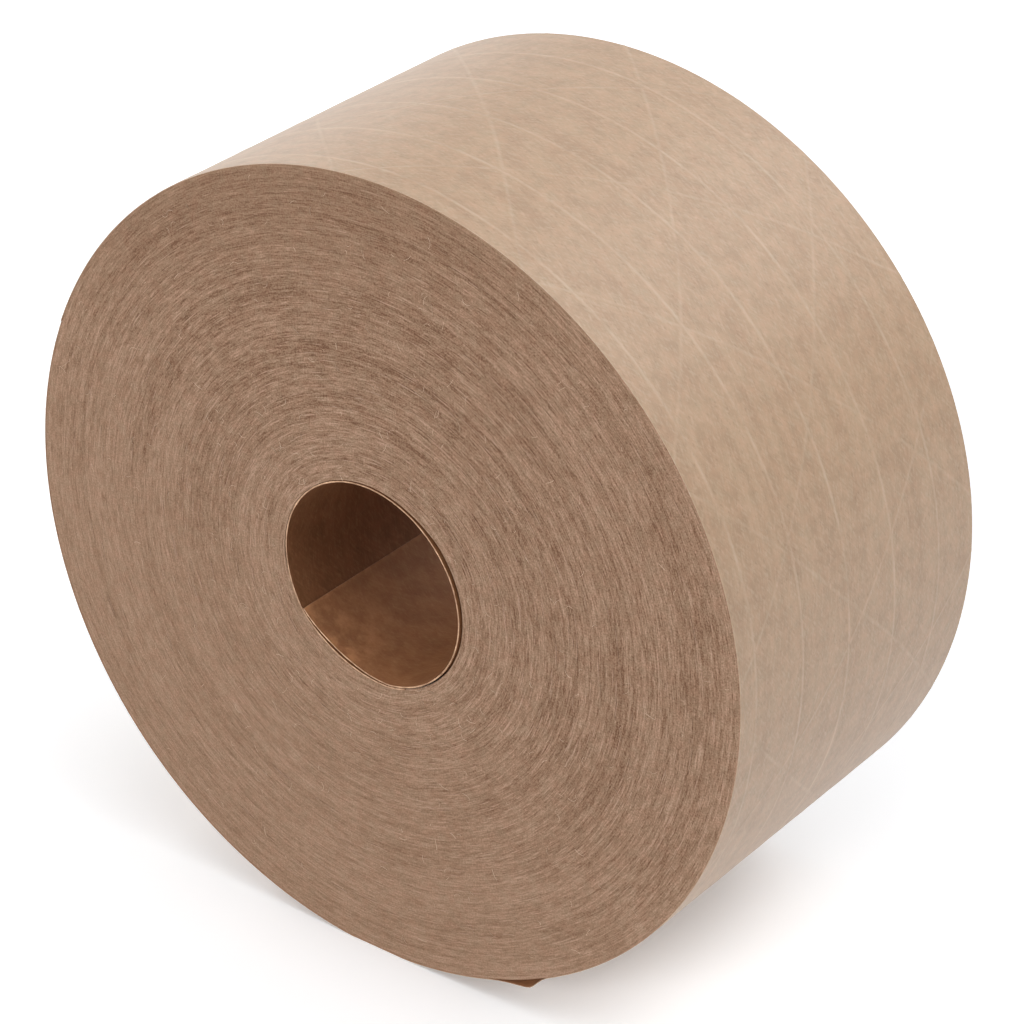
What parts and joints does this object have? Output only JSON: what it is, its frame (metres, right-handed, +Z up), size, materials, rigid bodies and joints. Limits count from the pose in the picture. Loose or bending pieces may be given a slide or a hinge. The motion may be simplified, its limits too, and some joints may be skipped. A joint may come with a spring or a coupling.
{
  "type": "gummed tape roll",
  "caption": "Roll of yarn-reinforced gummed kraft paper tape on a curled paper core liner, standing on its curved edge, with a free tail that lifts for unwinding.",
  "frame": {"origin": "middle of the core bore, on the roll's axis, halfway between its two end faces", "axes": "+Y along the roll's axis from the front end face to the back one, +Z up from the foot it stands on, +X to the right as the front end face is seen"},
  "size_m": [0.1479, 0.07, 0.1479],
  "materials": {
    "face_paper": "machine-glazed kraft, faint satin",
    "base_paper": "uncoated kraft, matt",
    "wound_edge": "slit paper edges, matt",
    "liner_paper": "brown kraft, faint satin",
    "dried_gum": "dried starch gum, slight gloss",
    "laminating_adhesive": "thin translucent hot-melt film",
    "yarn": "flat untwisted glass-fibre yarn"
  },
  "bodies": {
    "roll": {"core_liner": "liner_paper", "wound_turns": "wound_edge", "last_turn_face_ply": "face_paper", "last_turn_right_yarns": "yarn", "last_turn_adhesive": "laminating_adhesive", "last_turn_long_yarns": "yarn", "last_turn_left_yarns": "yarn", "last_turn_base_ply": "base_paper", "last_turn_gum_film": "dried_gum"},
    "tail": {"tail_face_ply": "face_paper", "tail_right_yarns": "yarn", "tail_adhesive": "laminating_adhesive", "tail_long_yarns": "yarn", "tail_left_yarns": "yarn", "tail_base_ply": "base_paper", "tail_gum_film": "dried_gum"}
  },
  "joints": [
    {"name": "tail_lift", "type": "hinge", "parent": "roll", "child": "tail", "pos_m": [-0.05271, 0, 0.05207], "axis": [0, 1, 0], "range_deg": [0, 90]}
  ]
}
